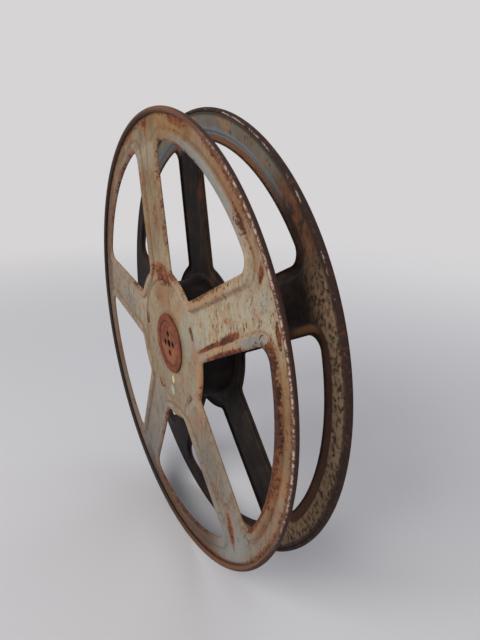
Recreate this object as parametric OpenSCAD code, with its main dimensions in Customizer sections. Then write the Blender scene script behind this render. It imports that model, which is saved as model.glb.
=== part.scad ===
// Cine film reel for 35 mm film: two pressed steel flanges on a rolled core drum,
// with a turned hub plate in the middle of each flange.
// The reel stands on its rims: X to the right, Z up, and its axis lies along Y.
// Each piece is drawn with the axis along Z and laid over by reel_axis().

/* [Reel] */
// Overall diameter over the rolled rims
reel_d = 400; // [380:1:440]
// Width between the inner faces of the two flanges
film_gap = 36.8; // [36.4:0.1:42]
// Thickness of the flange sheet
sheet_t = 1; // [0.8:0.1:1.2]

/* [Flange] */
// Number of spokes, and of windows between them
spoke_count = 5; // [4:1:6]
// Angle of the first spoke above the X axis
spoke_angle = 27; // [0:1:71]
// Width of a spoke at the inner end of the windows
spoke_root_w = 50; // [44:1:54]
// Width of a spoke at the outer end of the windows
spoke_tip_w = 47; // [42:1:54]
// Distance from the edge of the windows out to the rim
rim_band_w = 25; // [22:1:34]
// Distance from the drum out to the inner end of the windows
hub_band_w = 15.5; // [15:0.5:22]
// Radius of the outer corners of a window
outer_corner_r = 10; // [6:1:16]
// Radius of the inner corners of a window
inner_corner_r = 5; // [3:1:9]
// Width of the raised border round a window
border_w = 9.5; // [7:0.5:10]
// Height of the raised border over the sheet
border_h = 2.2; // [1.4:0.1:3]
// Depth of the lip turned in at the edge of a window
lip_h = 2.2; // [1.6:0.1:2.6]
// Diameter of the rolled bead on the rim
bead_d = 4.6; // [4:0.1:6]
// How far the bead stands in past the inner face of the sheet
bead_in = 0.4; // [0.2:0.1:0.6]
// Gap between the free edge of the roll and the sheet
roll_gap = 0.6; // [0.4:0.1:0.8]
// How far the sunk middle of a flange reaches past the drum
sunk_band_w = 4.2; // [4.2:0.1:5]
// How deep the middle is sunk towards the film
sink_h = 0.8; // [0.4:0.1:0.8]

/* [Core drum] */
// Outside diameter of the drum that the film winds on
drum_d = 110; // [100:1:124]
// Thickness of the drum strip
drum_t = 1; // [0.8:0.1:1.4]
// Length of a clinched tab along the strip
tab_len = 11; // [8:0.5:18]
// How far a tab folds out over the flange
tab_fold = 3; // [2:0.1:3]
// Clearance all round a tab in its slot
tab_clear = 0.15; // [0.1:0.05:0.3]
// Width of the slot that takes the end of the film
slot_gap = 4; // [3.6:0.1:5]
// Depth of the two lips that are turned in at the slot
lip_depth = 11; // [10.8:0.2:14]

/* [Hub] */
// Diameter of a hub plate
hub_plate_d = 55; // [48:1:60]
// Diameter of the sunk face inside the plate's rim
hub_face_d = 42; // [38:1:45]
// Height of the plate's rim over the sheet
hub_rim_h = 1.8; // [1.6:0.1:3]
// Height of the sunk face over the sheet
hub_face_h = 1.3; // [0.8:0.1:1.5]
// Diameter of the spigot that passes through the flange
spigot_d = 36; // [30:0.5:37]
// Clearance round the spigot
spigot_clear = 0.1; // [0.05:0.05:0.3]
// Outside diameter of the backing ring
ring_d = 52; // [46:1:60]
// Thickness of the backing ring
ring_t = 2; // [1.5:0.1:3]
// Diameter of the swaged end that holds the backing ring
swage_d = 40; // [39:0.5:44]
// Thickness of the swaged end
swage_t = 1; // [0.8:0.1:1.6]
// Diameter of the spindle bore
spindle_d = 6.4; // [5:0.1:8]
// Number of drive holes
drive_count = 4; // [2:1:6]
// Diameter of a drive hole
drive_d = 4.8; // [3:0.1:5.2]
// Diameter of the circle that the drive holes lie on
drive_pcd = 18; // [17.6:0.1:22]
// Turn of the drive holes against the X axis
drive_angle = 9; // [-45:1:45]
// Outside diameter of the spindle sleeve
sleeve_d = 12; // [9:0.1:12.2]
// How far the sleeve seats in each hub plate
sleeve_seat = 1.5; // [1:0.1:2]
// Clearance round the sleeve in its seats
sleeve_clear = 0.05; // [0.02:0.01:0.1]

/* [Film clip] */
// Width of the clip along the reel's axis
clip_w = 28; // [20:1:32]
// Thickness of the spring leaf
clip_t = 0.6; // [0.4:0.1:0.7]
// Length of the riveted foot
foot_len = 4; // [3.6:0.1:4.4]
// Length of the blade from its bend to its tip
blade_len = 6.3; // [5:0.1:6.4]
// Lean of the blade across the slot at rest
blade_lean = 25; // [20:1:27]
// Radius of the rolled bend that the blade swings on
bend_r = 0.5; // [0.4:0.05:0.6]
// Gap between the bend and the pieces round it
bend_gap = 0.2; // [0.1:0.05:0.25]
// Diameter of a clip rivet's shank
rivet_d = 1.6; // [1.2:0.1:2]
// Diameter of a clip rivet's head
rivet_head_d = 3; // [2.4:0.1:3.4]
// Height of a clip rivet's head
rivet_head_h = 0.7; // [0.5:0.1:0.8]
// Clearance round a clip rivet's shank
rivet_clear = 0.05; // [0.02:0.01:0.1]
// Distance between the two clip rivets
rivet_pitch = 16; // [10:1:20]

/* [Hidden] */
$fn = 96;

paint_colour = [0.66, 0.62, 0.54];
rust_colour = [0.55, 0.26, 0.15];
dark_colour = [0.22, 0.17, 0.14];
steel_colour = [0.55, 0.54, 0.52];

reel_r = reel_d / 2;
bead_r = bead_d / 2;
half_gap = film_gap / 2;
hub_z = half_gap - sink_h; // inner face of the sunk middle
drum_r = drum_d / 2;
sunk_r = drum_r + sunk_band_w;
cut_over = 1; // how far a cutting tool runs past what it cuts

spoke_step = 360 / spoke_count;
half_step = spoke_step / 2;
window_inner_r = drum_r + hub_band_w;
window_outer_r = reel_r - rim_band_w;
// How much half of the spoke narrows for each millimetre outwards, and the edge's lean
spoke_taper = (spoke_root_w - spoke_tip_w) / 2 / (window_outer_r - window_inner_r);
edge_lean = atan(spoke_taper);
spoke_half_w0 = spoke_root_w / 2 + window_inner_r * spoke_taper;

corner_steps = 6; // points along a window's corner
outer_steps = 14; // points along a window's outer edge
inner_steps = 5;  // points along a window's inner edge

slot_angle = spoke_angle + half_step + spoke_step;
tab_half_angle = tab_len / 2 / drum_r * 180 / PI;
tab_clear_angle = tab_clear / drum_r * 180 / PI;
fold_z = hub_z + sheet_t;

// The clip, in the slot's own frame: x outwards from the reel's axis, y along the strip
lip_in_x = drum_r - lip_depth;
foot_y = slot_gap / 2 - clip_t;
foot_x = lip_in_x + bend_gap;
bend_x = foot_x + foot_len + bend_gap + bend_r;
bend_y = slot_gap / 2 - bend_gap - bend_r;
rivet_x = foot_x + foot_len / 2;

// Points

function polar(r, angle) = [r * cos(angle), r * sin(angle)];

function arc(centre, r, from, to, steps) =
    [for (i = [0:steps]) centre + polar(r, from + (to - from) * i / steps)];

// The points of an arc round the reel's axis without its two ends
function inner_arc(r, from, to, steps) =
    [for (i = [1:steps - 1]) polar(r, from + (to - from) * i / steps)];

// How far along the spoke a corner of radius r touches its edge, with its centre at centre_r
function corner_along(r, centre_r) =
    let (b = spoke_half_w0 + r / cos(edge_lean), k = spoke_taper)
    (b * k + sqrt(b * b * k * k - (1 + k * k) * (b * b - centre_r * centre_r))) / (1 + k * k);

// The angle of that corner's centre from the middle of the window
function corner_angle(r, centre_r) =
    let (s = corner_along(r, centre_r), b = spoke_half_w0 + r / cos(edge_lean))
    half_step - atan2(b - s * spoke_taper, s);

// Outline of one window about the X axis, grown by e on every side
function window_outline(e) =
    let (outer_c = window_outer_r - outer_corner_r,
         inner_c = window_inner_r + inner_corner_r,
         outer_a = corner_angle(outer_corner_r, outer_c),
         inner_a = corner_angle(inner_corner_r, inner_c),
         side_a = 90 + half_step + edge_lean,
         outer_r = outer_corner_r + e,
         inner_r = inner_corner_r + e)
    concat(
        arc(polar(outer_c, -outer_a), outer_r, -side_a, -outer_a, corner_steps),
        inner_arc(window_outer_r + e, -outer_a, outer_a, outer_steps),
        arc(polar(outer_c, outer_a), outer_r, outer_a, side_a, corner_steps),
        arc(polar(inner_c, inner_a), inner_r, side_a, 180 + inner_a, corner_steps),
        inner_arc(window_inner_r - e, inner_a, -inner_a, inner_steps),
        arc(polar(inner_c, -inner_a), inner_r, 180 - inner_a, 360 - side_a, corner_steps));

// Shared shapes

module reel_axis() {
    rotate([90, 0, 0]) children();
}

// Draws its children at the front flange, with z = 0 on the sheet's inner face
module at_front() {
    reel_axis() translate([0, 0, half_gap]) children();
}

// The same with z = 0 on the inner face of the sunk middle
module at_front_hub() {
    reel_axis() translate([0, 0, hub_z]) children();
}

// Turns its children to face backwards
module to_rear() {
    mirror([0, 1, 0]) children();
}

module windows(e, from_z, to_z) {
    for (k = [0:spoke_count - 1])
        rotate(spoke_angle + half_step + k * spoke_step)
            translate([0, 0, from_z]) linear_extrude(to_z - from_z) polygon(window_outline(e));
}

// A piece of a flat ring, half_angle to each side of the X axis
module ring_sector(inner_r, outer_r, half_angle) {
    far = 2 * outer_r;
    intersection() {
        difference() {
            circle(outer_r);
            circle(inner_r);
        }
        polygon([[0, 0], polar(far, -half_angle), polar(far, half_angle)]);
    }
}

module at_tabs() {
    for (k = [0:spoke_count - 1]) rotate(spoke_angle + k * spoke_step) children();
}

module at_slot() {
    reel_axis() rotate(slot_angle) children();
}

// Flanges

// The rim: the sheet rolled outwards into a hollow bead, with its free edge just off the sheet
module rim_bead() {
    centre_z = bead_r - bead_in;
    sheet_a = 180 + asin((centre_z - sheet_t) / bead_r);
    gap_a = roll_gap / (bead_r - sheet_t / 2) * 180 / PI;
    far = 2 * bead_d;
    rotate_extrude() translate([reel_r - bead_r, centre_z]) difference() {
        circle(bead_r);
        circle(bead_r - sheet_t - 0.1);
        polygon([[0, 0], polar(far, sheet_a - gap_a), polar(far, sheet_a)]);
    }
}

module flange() {
    sheet_r = reel_r - bead_r - sqrt(bead_r * bead_r - pow(bead_r - bead_in, 2)) + 0.2;
    color(paint_colour) difference() {
        union() {
            cylinder(r = sheet_r, h = sheet_t);
            translate([0, 0, -sink_h]) cylinder(r = sunk_r, h = sink_h + sheet_t);
            windows(border_w, 0, border_h + sheet_t);
            rim_bead();
        }
        translate([0, 0, sheet_t - sink_h]) cylinder(r = sunk_r - sheet_t, h = sink_h + cut_over);
        translate([0, 0, -sink_h - cut_over]) {
            cylinder(d = spigot_d + 2 * spigot_clear, h = sheet_t + 2 * cut_over);
            linear_extrude(sheet_t + 2 * cut_over) at_tabs() ring_sector(
                drum_r - drum_t - tab_clear, drum_r + tab_clear, tab_half_angle + tab_clear_angle);
        }
        difference() {
            windows(border_w - sheet_t, -cut_over, border_h);
            windows(sheet_t, border_h + sheet_t - lip_h, border_h + cut_over);
        }
        windows(0, -cut_over, border_h + sheet_t + cut_over);
    }
}

module front_flange() {
    at_front() flange();
}

module rear_flange() {
    to_rear() front_flange();
}

// Core drum

// The strip seen along the axis: a ring open at the film slot, with both ends turned in
module drum_strip() {
    difference() {
        circle(drum_r);
        circle(drum_r - drum_t);
        rotate(slot_angle) translate([drum_r - lip_depth, -slot_gap / 2])
            square([lip_depth + cut_over, slot_gap]);
    }
    for (side = [0, 1]) rotate(slot_angle) mirror([0, side])
        translate([lip_in_x, slot_gap / 2]) square([lip_depth - drum_t / 2, drum_t]);
}

// What is cut from one end of the strip between its tabs
module tab_notches() {
    translate([0, 0, hub_z]) linear_extrude(sheet_t + drum_t + cut_over)
        for (k = [0:spoke_count - 1]) rotate(spoke_angle + half_step + k * spoke_step) ring_sector(
            lip_in_x - cut_over, drum_r + tab_fold + cut_over, half_step - tab_half_angle);
}

// The ring that the folded ends of the tabs are left from
module fold_ring() {
    translate([0, 0, fold_z]) linear_extrude(drum_t) difference() {
        circle(drum_r + tab_fold);
        circle(drum_r - drum_t / 2);
    }
}

module core_drum() {
    tab_end = fold_z + drum_t;
    color(dark_colour) reel_axis() difference() {
        union() {
            translate([0, 0, -tab_end]) linear_extrude(2 * tab_end) drum_strip();
            fold_ring();
            mirror([0, 0, 1]) fold_ring();
        }
        tab_notches();
        mirror([0, 0, 1]) tab_notches();
        rotate(slot_angle) clip_rivet_holes();
    }
}

// Hub

module hub_plate() {
    inner_z = -ring_t - swage_t;
    top_z = sheet_t + hub_rim_h;
    color(rust_colour) difference() {
        union() {
            translate([0, 0, sheet_t]) cylinder(d = hub_plate_d, h = hub_rim_h);
            translate([0, 0, inner_z]) cylinder(d = spigot_d, h = sheet_t - inner_z + hub_rim_h / 2);
            translate([0, 0, inner_z]) cylinder(d = swage_d, h = swage_t);
        }
        translate([0, 0, sheet_t + hub_face_h]) cylinder(d = hub_face_d, h = hub_rim_h);
        translate([0, 0, inner_z - cut_over]) cylinder(d = spindle_d, h = top_z - inner_z + 2 * cut_over);
        translate([0, 0, inner_z - cut_over])
            cylinder(d = sleeve_d + 2 * sleeve_clear, h = sleeve_seat + cut_over);
        for (k = [0:drive_count - 1])
            rotate(drive_angle + k * 360 / drive_count) translate([drive_pcd / 2, 0, inner_z - cut_over])
                cylinder(d = drive_d, h = top_z - inner_z + 2 * cut_over);
    }
}

module front_hub_plate() {
    at_front_hub() hub_plate();
}

module rear_hub_plate() {
    to_rear() front_hub_plate();
}

module backing_ring() {
    color(steel_colour) translate([0, 0, -ring_t]) difference() {
        cylinder(d = ring_d, h = ring_t);
        translate([0, 0, -cut_over]) cylinder(d = spigot_d + 2 * spigot_clear, h = ring_t + 2 * cut_over);
    }
}

module front_backing_ring() {
    at_front_hub() backing_ring();
}

module rear_backing_ring() {
    to_rear() front_backing_ring();
}

// The tube that leads the spindle from one hub plate to the other
module spindle_sleeve() {
    length = 2 * (hub_z - ring_t - swage_t + sleeve_seat);
    color(steel_colour) reel_axis() difference() {
        cylinder(d = sleeve_d, h = length, center = true);
        cylinder(d = spindle_d, h = length + 2 * cut_over, center = true);
    }
}

// Film clip

module film_clip_foot() {
    color(steel_colour) at_slot() difference() {
        translate([foot_x, foot_y, -clip_w / 2]) cube([foot_len, clip_t, clip_w]);
        clip_rivet_holes();
    }
}

// The spring leaf's blade, leaning across the slot so that its tip pinches the film
module film_clip() {
    color(steel_colour) at_slot() translate([bend_x, bend_y, -clip_w / 2]) linear_extrude(clip_w) {
        circle(bend_r);
        rotate(-blade_lean) translate([0, -clip_t / 2]) square([blade_len, clip_t]);
    }
}

// Puts its children at each rivet, with z along the rivet and z = 0 at the middle of the foot
module clip_rivet_places() {
    for (side = [-1, 1])
        translate([rivet_x, foot_y + clip_t / 2, side * rivet_pitch / 2]) rotate([90, 0, 0]) children();
}

module clip_rivet_holes() {
    clip_rivet_places() cylinder(d = rivet_d + 2 * rivet_clear, h = 4 * drum_t, center = true);
}

module film_clip_rivets() {
    grip = clip_t + drum_t;
    color(steel_colour) at_slot() clip_rivet_places() {
        translate([0, 0, clip_t / 2]) cylinder(d = rivet_head_d, h = rivet_head_h);
        translate([0, 0, clip_t / 2 - grip]) cylinder(d = rivet_d, h = grip + rivet_head_h / 2);
        translate([0, 0, clip_t / 2 - grip - rivet_head_h]) cylinder(d = rivet_head_d, h = rivet_head_h);
    }
}

front_flange();
rear_flange();
core_drum();
front_hub_plate();
rear_hub_plate();
front_backing_ring();
rear_backing_ring();
spindle_sleeve();
film_clip_foot();
film_clip();
film_clip_rivets();
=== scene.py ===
import math

import bmesh
import bpy
from mathutils import Matrix, Vector
from mathutils.geometry import delaunay_2d_cdt


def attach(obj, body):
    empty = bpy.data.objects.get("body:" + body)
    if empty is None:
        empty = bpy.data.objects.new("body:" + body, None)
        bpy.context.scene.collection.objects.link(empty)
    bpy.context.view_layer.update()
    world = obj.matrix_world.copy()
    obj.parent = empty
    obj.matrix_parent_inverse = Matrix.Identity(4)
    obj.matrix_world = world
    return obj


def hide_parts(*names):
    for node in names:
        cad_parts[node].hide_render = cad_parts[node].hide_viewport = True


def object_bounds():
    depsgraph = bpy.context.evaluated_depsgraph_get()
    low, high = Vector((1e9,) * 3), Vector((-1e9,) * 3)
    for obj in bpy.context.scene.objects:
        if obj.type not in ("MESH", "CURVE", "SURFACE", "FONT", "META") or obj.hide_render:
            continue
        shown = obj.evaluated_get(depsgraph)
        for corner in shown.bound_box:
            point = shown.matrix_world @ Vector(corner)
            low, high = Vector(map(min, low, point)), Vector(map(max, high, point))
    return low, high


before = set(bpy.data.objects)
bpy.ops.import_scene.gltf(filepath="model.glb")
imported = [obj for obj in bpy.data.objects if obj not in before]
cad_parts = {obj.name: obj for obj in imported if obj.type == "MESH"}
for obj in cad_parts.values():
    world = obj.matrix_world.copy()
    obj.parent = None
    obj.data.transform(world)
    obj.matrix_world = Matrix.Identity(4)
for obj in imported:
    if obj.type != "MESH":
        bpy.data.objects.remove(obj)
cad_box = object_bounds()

# Flanges, front and rear. Each is one disc pressed from 1 mm steel sheet: five windows between
# five spokes, a border pressed up round each window with its edge turned back in, and a middle
# sunk towards the film. They stand on their rims, with the reel's axis along Y.
MM = 0.001
half_gap = 18.4
sheet = 1.0
spokes = 5
spoke_angle = 27.0
spoke_step = 360.0 / spokes
half_step = spoke_step / 2
spoke_root, spoke_tip = 50.0, 47.0
window_in, window_out = 70.5, 175.0
corner_in, corner_out = 5.0, 10.0
border_height = 2.2
border_reach = 9.9
sunk_reach = 60.3
sink = 0.8
spigot_hole = 18.1
roll_start = 193.6
around = 240

spoke_taper = (spoke_root - spoke_tip) / 2 / (window_out - window_in)
edge_lean = math.degrees(math.atan(spoke_taper))
spoke_half = spoke_root / 2 + window_in * spoke_taper


def polar(r, angle):
    """The point at that radius and that angle, in degrees."""
    a = math.radians(angle)
    return Vector((r * math.cos(a), r * math.sin(a)))


def arc(centre, r, start, end, steps, ends=True):
    """Points along an arc, with or without its two ends."""
    picks = range(steps + 1) if ends else range(1, steps)
    return [centre + polar(r, start + (end - start) * i / steps) for i in picks]


def corner_angle(r, centre_r):
    """Angle from the window's middle to the centre of a corner of radius r."""
    b = spoke_half + r / math.cos(math.radians(edge_lean))
    k = spoke_taper
    along = (b * k + math.sqrt(b * b * k * k - (1 + k * k) * (b * b - centre_r ** 2))) / (1 + k * k)
    return half_step - math.degrees(math.atan2(b - along * k, along))


def window_outline(grow):
    """Outline of the window about +X, grown by that many millimetres on every side."""
    out_c, in_c = window_out - corner_out, window_in + corner_in
    out_a, in_a = corner_angle(corner_out, out_c), corner_angle(corner_in, in_c)
    side = 90 + half_step + edge_lean
    middle = Vector((0, 0))
    far_steps, far_corner, near_corner, near_steps = 40, 10, 9, 14
    return (arc(polar(out_c, -out_a), corner_out + grow, -side, -out_a, far_corner)
            + arc(middle, window_out + grow, -out_a, out_a, far_steps, False)
            + arc(polar(out_c, out_a), corner_out + grow, out_a, side, far_corner)
            + arc(polar(in_c, in_a), corner_in + grow, side, 180 + in_a, near_corner)
            + arc(middle, window_in - grow, in_a, -in_a, near_steps, False)
            + arc(polar(in_c, -in_a), corner_in + grow, 180 - in_a, 360 - side, near_corner))


def soft_step(x):
    x = min(1.0, max(0.0, x))
    return x * x * (3 - 2 * x)


def stair(start, end, low, high, steps):
    """Points of a soft step from (start, low) to (end, high)."""
    return [(start + (end - start) * i / steps, low + (high - low) * soft_step(i / steps))
            for i in range(steps + 1)]


def window_section():
    """The border cut across: (distance from the window's edge, height), outside face first. Its
    top is crowned and falls towards the window, where the edge is turned in to the film side."""
    crown = border_height + sheet
    crest, fall = 5.2, 0.9

    def crowned(x, down=0.0):
        return x, crown - down - fall * ((crest - x) / crest) ** 2

    top = [crowned(x) for x in (crest, 4.0, 3.0, 2.2, 1.5)]
    under = [crowned(x, sheet) for x in (2.4, 3.2, 4.2, crest)]
    lip = [(0.9, crown - 0.86), (0.45, crown - 1.14), (0.12, crown - 1.6), (0.0, crown - 2.1),
           (0.0, 0.5), (0.12, 0.32), (0.5, 0.25), (0.88, 0.32), (1.0, 0.5), (1.0, crown - 2.3),
           (1.5, crown - 1.75)]
    return ([(border_reach, sheet)] + stair(9.5, 6.6, sheet, crown - 0.05, 7) + top + lip + under
            + stair(6.2, 9.1, border_height - 0.05, 0.0, 7) + [(border_reach, 0.0)])


def middle_section():
    """The sunk middle cut across: (radius, height), outside face first."""
    top, under = sheet - sink, -sink
    return ([(sunk_reach, sheet)] + stair(59.7, 58.1, sheet, top, 6)
            + [(40.0, top), (spigot_hole, top), (spigot_hole, under), (40.0, under)]
            + stair(58.6, 60.0, under, 0.0, 6) + [(sunk_reach, 0.0)])


def rim_section():
    """Where the sheet runs out under the rolled rim: (radius, height), outside face first."""
    return [(roll_start, sheet), (194.7, 0.97), (195.7, 0.84), (196.6, 0.62), (196.9, 0.45),
            (196.6, 0.1), (195.7, -0.05), (194.7, -0.01), (roll_start, 0.0)]


def linked(name, data):
    """A new object of the scene."""
    made = bpy.data.objects.new(name, data)
    bpy.context.scene.collection.objects.link(made)
    return made


def meshed(name, bm):
    """A new mesh with all its faces turned outwards; bm isn't used after this."""
    bmesh.ops.recalc_face_normals(bm, faces=bm.faces)
    mesh = bpy.data.meshes.new(name)
    bm.to_mesh(mesh)
    bm.free()
    return mesh


def pressed_flange(name, facing, painted):
    """The whole pressing. facing is -1 where its outside looks along -Y and 1 along +Y. painted is
    how many strips of each border, from its foot over the top and down the lip, are outside."""
    bm = bmesh.new()

    def put(point, height):
        return bm.verts.new((point.x * MM, facing * (half_gap + height) * MM, point.y * MM))

    def strips(rings, inside_from):
        """Quads between rings of points; the rings from inside_from on lie on the film side."""
        for i, (a, b) in enumerate(zip(rings, rings[1:])):
            for j in range(len(a)):
                k = (j + 1) % len(a)
                bm.faces.new((a[j], a[k], b[k], b[j])).material_index = int(i >= inside_from)

    circle = [360.0 * i / around for i in range(around)]
    outer, inner = [], []
    section = window_section()
    for w in range(spokes):
        turn = Matrix.Rotation(math.radians(spoke_angle + half_step + w * spoke_step), 2)
        rings = [[put(turn @ p, h) for p in window_outline(e)] for e, h in section]
        strips(rings, painted)
        outer.append(rings[0])
        inner.append(rings[-1])
    middle_painted, rim_painted = 9, 4
    for section, outside in ((middle_section(), middle_painted), (rim_section(), rim_painted)):
        rings = [[put(polar(r, a), h) for a in circle] for r, h in section]
        strips(rings, outside)
        outer.append(rings[0])
        inner.append(rings[-1])

    for loops, side in ((outer, 0), (inner, 1)):
        verts = [v for loop in loops for v in loop]
        flat = [Vector((v.co.x, v.co.z)) / MM for v in verts]
        edges, loop_of = [], []
        for n, loop in enumerate(loops):
            at, count = len(loop_of), len(loop)
            edges += [(at + i, at + (i + 1) % count) for i in range(count)]
            loop_of += [n] * count
        for tri in delaunay_2d_cdt(flat, edges, [], 0, 1e-6)[2]:
            # A triangle with all its corners on one loop lies in a hole
            if len({loop_of[i] for i in tri}) > 1:
                bm.faces.new([verts[i] for i in tri]).material_index = side
    for f in bm.faces:
        f.smooth = True
    return linked(name, meshed(name, bm))


def srgb(r, g, b):
    """A colour read off a screen, 0 to 255, as the linear colour that a shader takes."""
    def linear(c):
        c /= 255.0
        return c / 12.92 if c <= 0.04045 else ((c + 0.055) / 1.055) ** 2.4

    return (linear(r), linear(g), linear(b), 1.0)


def add(tree, kind, inputs=(), **settings):
    """A new node with its settings and its inputs, each a value or a socket to link from."""
    made = tree.nodes.new(kind)
    for key, value in settings.items():
        setattr(made, key, value)
    for key, value in dict(inputs).items():
        if isinstance(value, bpy.types.NodeSocket):
            tree.links.new(value, made.inputs[key])
        else:
            made.inputs[key].default_value = value
    return made


def calc(tree, operation, *values):
    return add(tree, "ShaderNodeMath", enumerate(values), operation=operation).outputs[0]


def total(tree, *values):
    made = values[0]
    for value in values[1:]:
        made = calc(tree, "ADD", made, value)
    return made


def product(tree, *values):
    made = values[0]
    for value in values[1:]:
        made = calc(tree, "MULTIPLY", made, value)
    return made


def ramp(tree, value, start, end, low=0.0, high=1.0):
    """Goes softly from low at start to high at end."""
    return add(tree, "ShaderNodeMapRange", {"Value": value, "From Min": start, "From Max": end,
               "To Min": low, "To Max": high}, interpolation_type="SMOOTHSTEP").outputs[0]


def band(tree, value, middle, half_width):
    """1 where value is at the middle, down to 0 half_width to each side."""
    away = calc(tree, "ABSOLUTE", calc(tree, "SUBTRACT", value, middle))
    return ramp(tree, away, half_width, 0.0)


def mix(tree, factor, a, b, blend="MIX"):
    """Two colours mixed; 6 and 7 are the colour inputs of the node and 2 is its colour output."""
    return add(tree, "ShaderNodeMix", {0: factor, 6: a, 7: b}, data_type="RGBA",
               blend_type=blend).outputs[2]


def noise(tree, scale, detail=4.0, roughness=0.55, stretch=(1, 1, 1), shift=(0, 0, 0)):
    """Even mottling on the piece's own coordinates; stretch makes it finer along an axis."""
    at = add(tree, "ShaderNodeTexCoord").outputs["Object"]
    at = add(tree, "ShaderNodeMapping", {"Vector": at, "Scale": stretch,
             "Location": shift}).outputs[0]
    return add(tree, "ShaderNodeTexNoise", {"Vector": at, "Scale": scale, "Detail": detail,
               "Roughness": roughness}).outputs[0]


def shader_group(name, inputs, outputs):
    """A new shader group, its input sockets by name and its output node."""
    tree = bpy.data.node_groups.new(name, "ShaderNodeTree")
    for label, kind, value in inputs:
        tree.interface.new_socket(label, in_out="INPUT", socket_type=kind).default_value = value
    for label, kind in outputs:
        tree.interface.new_socket(label, in_out="OUTPUT", socket_type=kind)
    return tree, tree.nodes.new("NodeGroupInput").outputs, tree.nodes.new("NodeGroupOutput").inputs


def use(tree, group, **inputs):
    """The outputs of a group that is set into the tree with those inputs."""
    return add(tree, "ShaderNodeGroup", inputs, node_tree=group).outputs


def put_out(tree, out, **values):
    """Links each value to the group's output of that name."""
    for label, value in values.items():
        tree.links.new(value, out[label])


FLOAT, COLOUR = "NodeSocketFloat", "NodeSocketColor"


def pressing_map_group():
    """Where on the reel a point lies, in millimetres: from its axis, from a window's edge, to the
    right, upwards, and from the middle between the flanges. Front is 1 on the front half."""
    tree, _, out = shader_group("pressing_map", (), (
        ("Radius", FLOAT), ("Window", FLOAT), ("Side", FLOAT), ("Up", FLOAT), ("Depth", FLOAT),
        ("Front", FLOAT)))
    at = add(tree, "ShaderNodeTexCoord").outputs["Object"]
    axis = add(tree, "ShaderNodeSeparateXYZ", {0: at}).outputs
    x, z = calc(tree, "DIVIDE", axis[0], MM), calc(tree, "DIVIDE", axis[2], MM)
    r = calc(tree, "SQRT", total(tree, product(tree, x, x), product(tree, z, z)))
    half = math.radians(half_step)
    turned = calc(tree, "SUBTRACT", calc(tree, "ARCTAN2", z, x), math.radians(spoke_angle))
    fold = calc(tree, "WRAP", turned, half, -half)
    along = calc(tree, "MULTIPLY", r, calc(tree, "COSINE", fold))
    off = calc(tree, "ABSOLUTE", calc(tree, "MULTIPLY", r, calc(tree, "SINE", fold)))
    spoke = calc(tree, "SUBTRACT", calc(tree, "MULTIPLY_ADD", along, -spoke_taper, spoke_half), off)

    def rounded(a, b, corner):
        """Distance outside two edges, a and b beyond each, that meet in a round corner."""
        a, b = calc(tree, "ADD", a, corner), calc(tree, "ADD", b, corner)
        low = calc(tree, "MINIMUM", calc(tree, "MAXIMUM", a, b), 0.0)
        a, b = calc(tree, "MAXIMUM", a, 0.0), calc(tree, "MAXIMUM", b, 0.0)
        far = calc(tree, "SQRT", total(tree, product(tree, a, a), product(tree, b, b)))
        return calc(tree, "SUBTRACT", calc(tree, "ADD", low, far), corner)

    outer = rounded(spoke, calc(tree, "SUBTRACT", r, window_out), corner_out)
    inner = rounded(spoke, calc(tree, "SUBTRACT", window_in, r), corner_in)
    depth = calc(tree, "ABSOLUTE", calc(tree, "DIVIDE", axis[1], MM))
    window = calc(tree, "MAXIMUM", outer, inner)
    front = calc(tree, "LESS_THAN", axis[1], 0.0)
    put_out(tree, out, Radius=r, Window=window, Side=x, Up=z, Depth=depth, Front=front)
    return tree


def patch_group():
    """1 at a point of the reel's face, down to 0 at the given reach from it, in millimetres.
    Turn, in radians, turns the patch anticlockwise."""
    tree, given, out = shader_group("patch", (
        ("X", FLOAT, 0.0), ("Z", FLOAT, 0.0), ("Wide", FLOAT, 10.0), ("Tall", FLOAT, 10.0),
        ("Turn", FLOAT, 0.0)), (("Mask", FLOAT),))
    at = add(tree, "ShaderNodeTexCoord").outputs["Object"]
    axis = add(tree, "ShaderNodeSeparateXYZ", {0: at}).outputs
    x = calc(tree, "SUBTRACT", calc(tree, "DIVIDE", axis[0], MM), given["X"])
    z = calc(tree, "SUBTRACT", calc(tree, "DIVIDE", axis[2], MM), given["Z"])
    cos, sin = calc(tree, "COSINE", given["Turn"]), calc(tree, "SINE", given["Turn"])
    across = total(tree, product(tree, x, cos), product(tree, z, sin))
    rise = calc(tree, "SUBTRACT", product(tree, z, cos), product(tree, x, sin))
    across = calc(tree, "DIVIDE", across, given["Wide"])
    rise = calc(tree, "DIVIDE", rise, given["Tall"])
    away = calc(tree, "SQRT", total(tree, product(tree, across, across), product(tree, rise, rise)))
    put_out(tree, out, Mask=ramp(tree, away, 1.0, 0.15))
    return tree


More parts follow.
